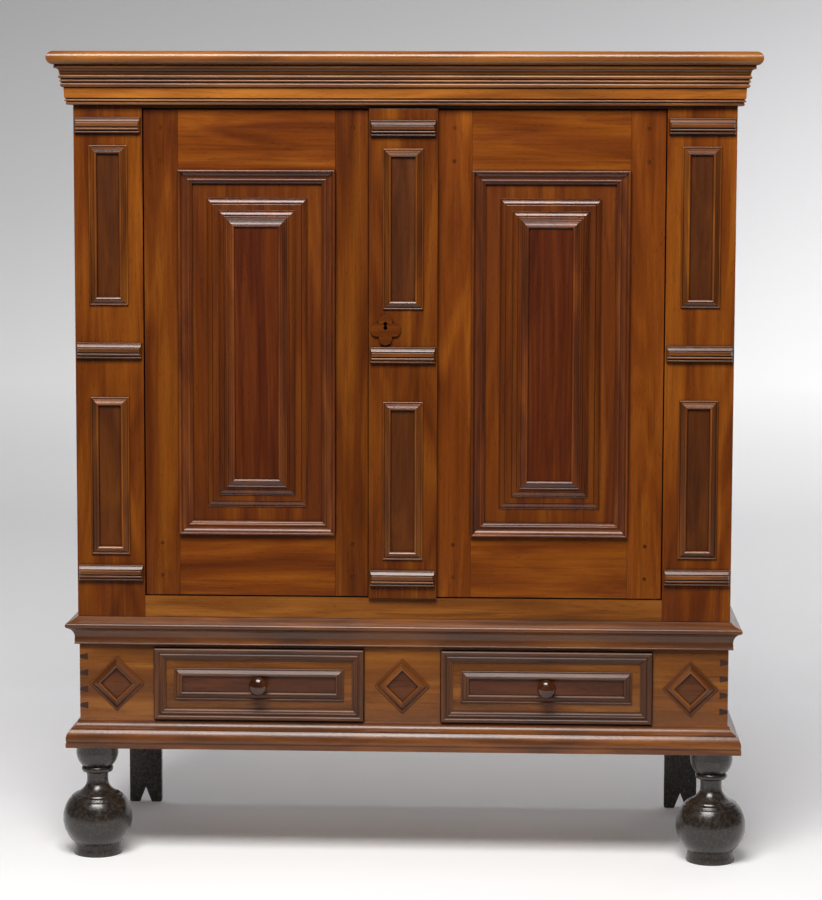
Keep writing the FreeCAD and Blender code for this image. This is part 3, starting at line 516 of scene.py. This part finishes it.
# Mouldings round the carcass: outline shares as projection and height
carcass = {"half": 800.0, "back": 628.0, "baseHalf": 797.5, "baseFront": 2.5}
cornice = {"bottom": 1852.0, "height": 95.0, "projection": 40.0, "nose": 33.0, "overhang": 16.0,
           "noseRounds": 20, "tone": 0.35, "noseTone": 0.45,
           "zones": [(16, 40.3, 1.0)]}      # the broad fascia is the palest member
corniceShares = [
    (0.0, 0.0), (0.26, 0.0), (0.35, 0.012, 0.37, 0.06), (0.33, 0.07), (0.33, 0.08), (0.40, 0.088),
    (0.46, 0.11, 0.41, 0.14), (0.38, 0.15), (0.38, 0.165), (0.46, 0.175), (0.49, 0.42), (0.46, 0.43),
    (0.52, 0.44), (0.64, 0.465, 0.65, 0.53), (0.60, 0.54), (0.60, 0.565), (0.65, 0.575),
    (0.71, 0.60, 0.66, 0.63), (0.63, 0.64), (0.63, 0.655), (0.69, 0.665), (0.77, 0.705, 0.70, 0.75),
    (0.67, 0.76), (0.67, 0.775), (0.72, 0.785), (0.78, 0.88, 0.95, 0.915), (1.0, 0.915), (1.0, 0.97),
    (0.96, 1.0), (0.0, 1.0)]
waist = {"bottom": 534.5, "height": 68.5, "projection": 31.0, "tone": 0.45}
waistShares = [
    (0.0, 0.0), (0.30, 0.0), (0.37, 0.025, 0.32, 0.06), (0.34, 0.15), (0.42, 0.43, 0.70, 0.575),
    (0.78, 0.58), (0.78, 0.60), (0.88, 0.605), (1.0, 0.69, 0.88, 0.785), (0.80, 0.80),
    (0.46, 0.87, 0.14, 0.99), (0.0, 1.0)]
plinth = {"bottom": 278.0, "height": 68.0, "projection": 32.0, "tone": 0.5}
plinthShares = [
    (0.0, 0.0), (1.0, 0.0), (1.0, 0.165), (0.93, 0.18), (0.93, 0.205), (0.97, 0.22),
    (0.92, 0.48, 0.70, 0.645), (0.60, 0.65), (0.60, 0.70), (0.36, 0.76, 0.14, 0.965), (0.0, 1.0)]


def addWrap(pile, half, front, bottom, points, tone):       # a length in front and one down each side
    up = Vector((0, 0, 1))
    addLength(pile, points, at(-half, front, bottom), Vector((1, 0, 0)), 2 * half * mm,
              Vector((0, -1, 0)), up, (1, 1), tone)
    for side in (-1, 1):
        addLength(pile, points, at(side * half, front, bottom), Vector((0, 1, 0)),
                  (carcass["back"] - front) * mm, Vector((side, 0, 0)), up, (1, 0), tone)


def wrapPiece(node, half, front, size, shares, material):
    pile = Pile(pieceName(node))
    pile.zones = size.get("zones", ())
    points = outline(shares, size["projection"], size["height"])
    addWrap(pile, half, front, size["bottom"], points, size["tone"])
    finishPiece(pile, "case", [node], [material])


baseHalf, baseFront = carcass["baseHalf"], carcass["baseFront"]
wrapPiece("cornice_moulding", carcass["half"], 0.0, cornice, corniceShares, baseWood)
wrapPiece("waist_moulding", baseHalf, baseFront, waist, waistShares, caseMoulding)
wrapPiece("base_moulding", baseHalf, baseFront, plinth, plinthShares, caseMoulding)

topPile = Pile("corniceTop")
reach = cornice["projection"] + cornice["overhang"]
noseStart = 1 - cornice["nose"] / 2 / reach
noseShares = [(0.0, 0.0), (noseStart, 0.0), (1.0, 0.5, noseStart, 1.0), (0.0, 1.0)]
topLow = cornice["bottom"] + cornice["height"]
nosePoints = outline(noseShares, reach, cornice["nose"], cornice["noseRounds"])
addWrap(topPile, carcass["half"], 0.0, topLow, nosePoints, cornice["noseTone"])
topPile.start()
low, high = at(-carcass["half"], 0, topLow), at(carcass["half"], carcass["back"], topLow + cornice["nose"])
corners = {(i, j, k): topPile.vert((x, y, z), (x, y, z)) for i, x in enumerate((low.x, high.x))
           for j, y in enumerate((low.y, high.y)) for k, z in enumerate((low.z, high.z))}
for fixed in range(3):
    for value in (0, 1):
        ring = [(0, 0), (1, 0), (1, 1), (0, 1)]
        topPile.face([corners[tuple(p[:fixed] + (value,) + p[fixed:])] for p in ring])
finishPiece(topPile, "case", ["cornice_top"], [baseWood])
print("carcass mouldings made")

# Frames: outline shares from the outer edge to the inner edge, then proud
borderShares = [
    (0.0, 0.0), (0.0, 0.84), (0.08, 1.0, 0.18, 0.88), (0.18, 0.80), (0.30, 0.55, 0.62, 0.42),
    (0.64, 0.42), (0.64, 0.46), (0.72, 0.56, 0.82, 0.46), (0.82, 0.42), (0.91, 0.37, 0.96, 0.28),
    (1.0, 0.26), (1.0, 0.0)]
innerFrameShares = [
    (0.0, 0.0), (0.0, 0.28), (0.09, 0.42, 0.19, 0.33), (0.21, 0.24), (0.25, 0.28), (0.44, 0.60, 0.65, 0.88),
    (0.67, 0.80), (0.71, 0.82), (0.772, 0.995, 0.82, 0.95), (0.93, 0.83, 1.0, 0.64), (1.0, 0.0)]
drawerBorderShares = [
    (0.0, 0.0), (0.0, 0.80), (0.13, 1.0, 0.34, 0.84), (0.34, 0.68), (0.44, 0.62), (0.48, 0.70),
    (0.58, 0.82, 0.69, 0.66), (0.69, 0.52), (0.84, 0.40, 0.92, 0.20), (1.0, 0.18), (1.0, 0.0)]
stepShares = [
    (0.0, 0.0), (0.0, 0.20), (0.05, 0.28, 0.10, 0.22), (0.11, 0.07), (0.19, 0.07), (0.20, 0.25),
    (0.47, 0.635, 0.80, 0.85), (0.81, 0.68), (0.89, 0.68), (0.90, 0.93), (0.947, 0.981, 1.0, 1.0)]
tabletShares = [             # down the tablet's face: a weathering, a broad reed and two beads
    (0.0, 0.0), (0.0, 0.28), (0.03, 0.42, 0.06, 0.38), (0.062, 0.33), (0.08, 0.33), (0.082, 0.45),
    (0.17, 0.60, 0.27, 0.74), (0.275, 0.60), (0.32, 0.60), (0.33, 0.90), (0.347, 0.971, 0.38, 1.0),
    (0.55, 1.0), (0.583, 0.971, 0.60, 0.90), (0.61, 0.58), (0.65, 0.58), (0.66, 0.70),
    (0.735, 0.86, 0.81, 0.68), (0.82, 0.46), (0.87, 0.46), (0.88, 0.50), (0.94, 0.62, 0.99, 0.48),
    (1.0, 0.42), (1.0, 0.0)]

door = {"middle": 356.25, "level": 1252.75, "width": 381.5, "height": 888.5, "face": 12.5, "border": 33.0,
        "borderProud": 20.0, "steps": (0.1769, 0.2543), "stepEdge": 17.0, "stepRise": 8.0, "innerShare": 0.3067,
        "inner": 21.0, "innerProud": 9.0, "borderZones": [(8.6, 11.4, 0.3), (15, 21, 0.3)],
        "innerZones": [(7, 10, 0.5)]}       # the crests show paler


def doorOrnament(side, name):
    body = name + "_door"
    centre = lambda y: at(side * door["middle"], y, door["level"])
    pile = Pile(name + "DoorMouldings")
    pile.zones = door["borderZones"]
    addFrame(pile, centre(door["face"]), door["width"], door["height"],
             outline(borderShares, door["border"], door["borderProud"]))
    crest = door["face"] - 2 * door["stepRise"]
    inset = door["innerShare"] * door["width"]
    pile.zones = door["innerZones"]
    addFrame(pile, centre(crest), door["width"] - 2 * inset, door["height"] - 2 * inset,
             outline(innerFrameShares, door["inner"], door["innerProud"]))
    finishPiece(pile, body, [body + "_mouldings"], [moulding])
    pile = Pile(name + "DoorPanelSteps")
    for i, share in enumerate(door["steps"]):
        inset = share * door["width"]
        addPlate(pile, centre(door["face"] - i * door["stepRise"]), door["width"] - 2 * inset,
                 door["height"] - 2 * inset, outline(stepShares, door["stepEdge"], door["stepRise"]))
    finishPiece(pile, body, [body + "_panel_steps"], [panelWood], "plate")


doorOrnament(-1, "left")
doorOrnament(1, "right")
print("door ornament made")

# Tablets and frames of the stiles and the pilaster
ornament = {"stileX": 716.5, "tops": (1823.0, 1277.0, 731.0), "height": 38.0, "proud": 16.0, "heel": 4.48,
            "return": 5.5, "leastReturn": 0.02, "stileTablet": 160.0, "pilasterTablet": 159.0,
            "pilasterFace": -11.5, "drop": 6.5, "frameTops": (1755.5, 1144.5), "frameHeight": 387.0,
            "stileFrame": 94.5, "pilasterFrame": 98.0, "strip": 20.5, "frameProud": 11.0, "frameTone": 0.2,
            "tabletTonesAndShade": (0.12, 0.3, 0.3),                            # the top row is painted darker: painted shade under the cornice
            "reedZones": [(13, 17, 0.3)],                               # the broad reed shows paler
            "frameZones": [(2.9, 4.8, 0.35), (9, 12, 0.75)]}            # and so do the frames' thin beads


def addTablets(pile, x, y, width, drop):
    points = outline(tabletShares, ornament["height"], ornament["proud"])
    pile.zones = ornament["reedZones"]
    heel, proud, slope = [ornament[k] * mm for k in ("heel", "proud", "return")]
    least = ornament["leastReturn"]
    ends = [[(0, min(b, heel)) for a, b in points],     # the ends rise square to the heel, then slope
            [(slope * max(least, (b - heel) / (proud - heel)), b) for a, b in points]]
    ends += [[(width * mm - run, b) for run, b in end] for end in reversed(ends)]
    for top, tone in zip(ornament["tops"], ornament["tabletTonesAndShade"]):
        pile.start(tone)
        pile.skin([[pile.vert(at(x - width / 2, y, top - drop) + Vector((run, -b, -a)), (run, a, b))
                    for (a, flat), (run, b) in zip(points, end)] for end in ends])


def addStileFrames(pile, x, y, width, drop):
    points = outline(innerFrameShares, ornament["strip"], ornament["frameProud"])
    pile.zones = ornament["frameZones"]
    height = ornament["frameHeight"]
    for top in ornament["frameTops"]:
        addFrame(pile, at(x, y, top - drop - height / 2), width, height, points, tone=ornament["frameTone"])


pile = Pile("stileTablets")
for side in (-1, 1):
    addTablets(pile, side * ornament["stileX"], 0.0, ornament["stileTablet"], 0.0)
finishPiece(pile, "case", ["stile_tablets"], [caseMoulding])
pile = Pile("pilasterTablets")
addTablets(pile, 0.0, ornament["pilasterFace"], ornament["pilasterTablet"], ornament["drop"])
finishPiece(pile, "right_door", ["pilaster_tablets"], [caseMoulding])
pile = Pile("pilasterFrames")
addStileFrames(pile, 0.0, ornament["pilasterFace"], ornament["pilasterFrame"], ornament["drop"])
finishPiece(pile, "right_door", ["pilaster_frames"], [frameMoulding])

lozenge = {"x": 705.25, "level": 436.0, "side": 67.5 * math.sqrt(2), "strip": 20.5, "proud": 10.0,
           "zones": [(2.6, 4.4, 0.3), (8, 11, 0.8)]}
pile = Pile("appliedFrames")
for side in (-1, 1):
    addStileFrames(pile, side * ornament["stileX"], 0.0, ornament["stileFrame"], 0.0)
pile.zones = lozenge["zones"]
for x in (-lozenge["x"], 0.0, lozenge["x"]):
    addFrame(pile, at(x, carcass["baseFront"], lozenge["level"]), lozenge["side"], lozenge["side"],
             outline(innerFrameShares, lozenge["strip"], lozenge["proud"]), turn=45)
finishPiece(pile, "case", ["applied_frames"], [frameMoulding])
print("applied ornament made")

# Drawers
drawer = {"middle": 353.5, "level": 436.0, "width": 516.0, "height": 177.0, "border": 28.5, "borderProud": 12.0,
          "frameShare": 0.276, "frame": 20.5, "frameProud": 9.0, "field": 3.0, "fieldEdge": 1.0,
          "knobRadius": 23.0, "knobLength": 40.0, "knobRounds": 14, "knobSides": 56}
fieldShares = [(0.0, 0.0), (0.0, 0.7), (0.3, 0.9, 1.0, 1.0)]
knobShares = [
    (0.0, -0.575), (0.30, -0.575), (0.30, 0.0), (0.56, 0.0), (0.60, 0.06, 0.52, 0.13), (0.40, 0.20, 0.46, 0.30),
    (0.72, 0.36), (1.0, 0.62, 0.66, 0.90), (0.50, 0.96), (0.28, 0.99), (0.0, 1.0)]


def drawerOrnament(side, name):
    body = name + "_drawer"
    ground = at(side * drawer["middle"], carcass["baseFront"], drawer["level"])
    pile = Pile(name + "DrawerMouldings")
    addFrame(pile, ground, drawer["width"], drawer["height"],
             outline(drawerBorderShares, drawer["border"], drawer["borderProud"]))
    inset = drawer["frameShare"] * drawer["height"]
    width, height = drawer["width"] - 2 * inset, drawer["height"] - 2 * inset
    addFrame(pile, ground, width, height, outline(innerFrameShares, drawer["frame"], drawer["frameProud"]))
    finishPiece(pile, body, [body + "_mouldings"], [drawerMoulding])
    pile = Pile(name + "DrawerField")
    points = outline(fieldShares, drawer["fieldEdge"], drawer["field"])
    addPlate(pile, ground, width - 2 * drawer["frame"], height - 2 * drawer["frame"], points, upright=False)
    finishPiece(pile, body, [body + "_mouldings"], [fieldWood], "plate")
    pile = Pile(name + "DrawerKnob")
    addTurning(pile, ground + Vector((0, -drawer["field"] * mm, 0)), Vector((0, -1, 0)),
               outline(knobShares, drawer["knobRadius"], drawer["knobLength"], drawer["knobRounds"]),
               drawer["knobSides"])
    finishPiece(pile, body, [body + "_knob"], [knobWood])


drawerOrnament(-1, "left")
drawerOrnament(1, "right")

# Turned feet: outline shares as radius and height, with a fine ring cut round the ball
foot = {"x": 761.5, "y": 38.5, "radius": 88.0, "height": 278.0, "rings": (150.0, 141.0), "ringDepth": 1.6,
        "ringWidth": 1.6, "ringFrom": 0.6, "tenon": 11.0, "tenonTop": 310.0, "rounds": 60, "sides": 96}
footShares = [
    (0.0, 0.0), (0.67, 0.0), (0.685, 0.014), (0.655, 0.05), (0.645, 0.10), (0.975, 0.335, 0.69, 0.535),
    (0.67, 0.537), (0.64, 0.546), (0.44, 0.581, 0.312, 0.635), (0.297, 0.685, 0.307, 0.735),
    (0.40, 0.745), (0.445, 0.772, 0.40, 0.80), (0.45, 0.808), (0.555, 0.863, 0.59, 0.935), (0.59, 1.0)]


def footPiece(side, name):
    pile = Pile(name + "FrontFoot")
    points = []
    for r, h in outline(footShares, foot["radius"], foot["height"], foot["rounds"]):
        if r > foot["ringFrom"] * foot["radius"] * mm:
            for ring in foot["rings"]:
                r -= foot["ringDepth"] * mm * math.exp(-((h / mm - ring) / foot["ringWidth"]) ** 2)
        points.append((r, h))
    tenon, shoulder, top = [foot[k] * mm for k in ("tenon", "height", "tenonTop")]
    points += [(tenon, shoulder), (tenon, top), (0, top)]
    addTurning(pile, at(side * foot["x"], foot["y"], 0), Vector((0, 0, 1)), points, foot["sides"])
    finishPiece(pile, "case", [name + "_front_foot"], [ebonised])


footPiece(-1, "left")
footPiece(1, "right")
print("drawers and feet made")

# Boards and ironwork, from the CAD's own solids: node, material, slot, arris in millimetres, tones
boards = [
    ("left_front_stile", gumwood, "gumwood", 1.5, (-0.04,)),
    ("right_front_stile", gumwood, "gumwood", 1.5, (0.03,)),
    ("front_rails", baseWood, "gumwood", 2.4, (0.55, 0.1)),
    ("side_frames", gumwood, "gumwood", 1.2, ()),
    ("side_panels", panelWood, "gumwood", 1.0, (0.1,)),
    ("base_front", baseWood, "gumwood", 1.2, (0.5,)),
    ("base_left_side", baseWood, "gumwood", 0.6, ()),
    ("base_right_side", baseWood, "gumwood", 0.6, ()),
    ("left_door_stiles", gumwood, "gumwood", 1.6, (-0.25, -0.15)),
    ("left_door_rails", gumwood, "gumwood", 1.6, (0.08, 0.14)),
    ("right_door_stiles", gumwood, "gumwood", 1.6, (0.12, 0.08)),
    ("right_door_rails", gumwood, "gumwood", 1.6, (0.06, 0.08)),
    ("pilaster_board", gumwood, "gumwood", 2.0, (-0.15,)),
    ("escutcheon", gumwood, "gumwood", 1.8, (-0.2,)),
    ("left_door_panel", panelWood, "veneered_field", 0.6, (0.1,)),
    ("right_door_panel", panelWood, "veneered_field", 0.6, (0.14,)),
    ("left_door_field", doorFieldWood, "veneered_field", 0.8, (0.0,)),
    ("right_door_field", doorFieldWood, "veneered_field", 0.8, (-0.05,)),
    ("applied_fields", caseFieldWood, "veneered_field", 0.8, ()),
    ("pilaster_fields", caseFieldWood, "veneered_field", 0.8, ()),
    ("left_drawer_front", baseWood, "gumwood", 1.0, (0.25,)),
    ("right_drawer_front", baseWood, "gumwood", 1.0, (0.25,)),
    ("left_door_pegs", gumwood, "stained_moulding", 0.5, (-0.5,)),
    ("right_door_pegs", gumwood, "stained_moulding", 0.5, (-0.55,)),
    ("rear_feet", ebonised, "ebonised_wood", 1.5, ()),
    ("foot_blocks", pine, "secondary_pine", 1.0, ()),
    ("base_back", pine, "secondary_pine", 1.0, ()),
    ("drawer_runners", pine, "secondary_pine", 1.0, ()),
    ("case_bottom", pine, "secondary_pine", 1.0, ()),
    ("back_boards", pine, "secondary_pine", 1.0, ()),
    ("shelves", pine, "secondary_pine", 1.2, ()),
    ("shelf_cleats", pine, "secondary_pine", 1.0, ()),
    ("door_stops", pine, "secondary_pine", 1.0, ()),
    ("left_drawer_box", pine, "secondary_pine", 1.0, ()),
    ("right_drawer_box", pine, "secondary_pine", 1.0, ()),
    ("left_door_hinge_pins", iron, "wrought_iron", 0.4, ()),
    ("right_door_hinge_pins", iron, "wrought_iron", 0.4, ()),
    ("left_door_straps", iron, "wrought_iron", 0.6, ()),
    ("top_bolt", iron, "wrought_iron", 0.6, ()),
    ("bottom_bolt", iron, "wrought_iron", 0.6, ()),
    ("lock_case", iron, "wrought_iron", 0.8, ()),
    ("lock_bolt", iron, "wrought_iron", 0.5, ()),
]
grainAxis = {"base_front": 0}        # boards whose grain does not follow their longest side
for node, material, slot, arris, tones in boards:
    boardPiece(node, material, arris, tones, grainAxis.get(node),
               material in (gumwood, baseWood) and "pegs" not in node)
print("boards and ironwork made:", len(boards))

# Pale sweep: a floor that curves up into the wall behind. The lists give metres from the front edge of the
# white, below nought on the apron before it, and the colour or level there. The paper is painted darker
# round the bend and up the wall, as painted shade, and the glow is painted light that lifts the floor,
# the cupboard's shadow on it and the wall
sweep = {"half": 9.0, "front": -1.8, "apron": 3.0, "wall": 3.4, "radius": 1.6, "top": 7.0, "bends": 24,
         "bounce": [(-0.05, "#1a1a1a"), (0.0, "#cacacd")], "glow": [(1.3, 0.15), (1.8, 0.085)],
         # the paper's colours grow darker round the bend and up the wall: painted shade
         "paper": [(-0.9, "#48484a"), (-0.35, "#757577"), (0.0, "#ffffff"), (1.6, "#ffffff"), (2.2, "#f4f4f6"),
                   (3.6, "#efeff1"), (4.1, "#e4e4e6"), (4.8, "#cacacc"), (5.1, "#cfcfd1"), (5.4, "#dbdbdc"),
                   (6.1, "#c9c9cb"), (6.8, "#adadaf")]}


def addSweep():
    front, wall, radius, bends = [sweep[k] for k in ("front", "wall", "radius", "bends")]
    path = [(front - sweep["apron"], 0.0), (front, 0.0), (wall - radius, 0.0)]
    for i in range(1, bends + 1):
        angle = math.radians(90 * i / bends)
        path.append((wall - radius * (1 - math.sin(angle)), radius * (1 - math.cos(angle))))
    path.append((wall, sweep["top"]))
    verts = [(x, y, z) for y, z in path for x in (-sweep["half"], sweep["half"])]
    faces = [(2 * i, 2 * i + 1, 2 * i + 3, 2 * i + 2) for i in range(len(path) - 1)]
    mesh = bpy.data.meshes.new("sweep")
    mesh.from_pydata(verts, [], faces)
    mesh.shade_smooth()
    steps = [math.dist(a, b) for a, b in zip(path, path[1:])]
    travel = mesh.attributes.new("travel", "FLOAT", "POINT")
    for i in range(len(verts)):
        travel.data[i].value = sum(steps[:i // 2])
    material, tree = newMaterial("paleSweep")
    far = addNode(tree, "ShaderNodeAttribute", {"attribute_name": "travel"}).outputs["Fac"]
    share = reckon(tree, "DIVIDE", far, sum(steps))

    def ramp(key):           # what the sweep's list says along its length
        metres, levels = zip(*sweep[key])
        return coloured(tree, share, [(m + sweep["apron"]) / sum(steps) for m in metres], levels)

    rays = addNode(tree, "ShaderNodeLightPath")
    seen = reckon(tree, "MAXIMUM", rays.outputs["Is Camera Ray"], rays.outputs["Is Glossy Ray"])
    seen = reckon(tree, "MAXIMUM", seen, rays.outputs["Is Transmission Ray"])
    paper = addNode(tree, "ShaderNodeMix", {"data_type": "RGBA"},
                    {0: seen, 6: ramp("bounce"), 7: ramp("paper")}).outputs[2]
    shader = addNode(tree, "ShaderNodeBsdfDiffuse", None, {"Color": paper})
    # the glow is painted light: it lifts the white floor, the cupboard's shadow on it and the wall
    level = reckon(tree, "MULTIPLY", seen, ramp("glow"))
    glow = addNode(tree, "ShaderNodeEmission", None, {"Color": paper, "Strength": level})
    both = addNode(tree, "ShaderNodeAddShader", None, {0: shader.outputs[0], 1: glow.outputs[0]})
    clear = addNode(tree, "ShaderNodeBsdfTransparent")      # seen from its back, it leaves the view open
    away = addNode(tree, "ShaderNodeNewGeometry").outputs["Backfacing"]
    surface = addNode(tree, "ShaderNodeMixShader", None, {0: away, 1: both.outputs[0], 2: clear.outputs[0]})
    addNode(tree, "ShaderNodeOutputMaterial", None, {"Surface": surface.outputs[0]})
    mesh.materials.append(material)
    floor = bpy.data.objects.new("sweep", mesh)
    bpy.context.scene.collection.objects.link(floor)


addSweep()

# Soft studio light: a box high in front, and two washes on the wall behind
lamps = [                    # name, place, aim, size in metres, spread in degrees, watts, colour
    ("highBox", (-0.4, -3.4, 5.0), (0.0, -0.3, 1.05), (3.0, 2.0), 180, 315.0, "#fffdfb"),
    ("wallWash", (0.4, 1.5, 5.2), (0.6, 3.4, 0.6), (6.0, 0.8), 90, 34.0, "#ffffff"),
    ("rightWash", (4.6, 0.6, 2.4), (2.4, 3.4, 1.8), (1.6, 1.6), 62, 25.0, "#ffffff"),
]
for name, place, aim, size, spread, power, colour in lamps:
    data = bpy.data.lights.new(name, "AREA")
    data.shape = "RECTANGLE"
    data.size, data.size_y = size
    data.spread = math.radians(spread)
    data.energy = power
    data.color = linear(colour)[:3]
    lamp = bpy.data.objects.new(name, data)
    lamp.location = place
    lamp.rotation_mode = "QUATERNION"
    lamp.rotation_quaternion = (Vector(aim) - Vector(place)).to_track_quat("-Z", "Y")
    bpy.context.scene.collection.objects.link(lamp)

studio = {"air": "#f2f2f4", "strength": 0.07}
world = bpy.data.worlds.new("studioAir")
bpy.context.scene.world = world
world.use_nodes = True
world.node_tree.nodes.clear()
air = addNode(world.node_tree, "ShaderNodeBackground", {"Color": linear(studio["air"]),
              "Strength": studio["strength"]})
addNode(world.node_tree, "ShaderNodeOutputWorld", None, {"Surface": air.outputs[0]})
bpy.context.scene.view_settings.view_transform = "Standard"
print("light and floor set")
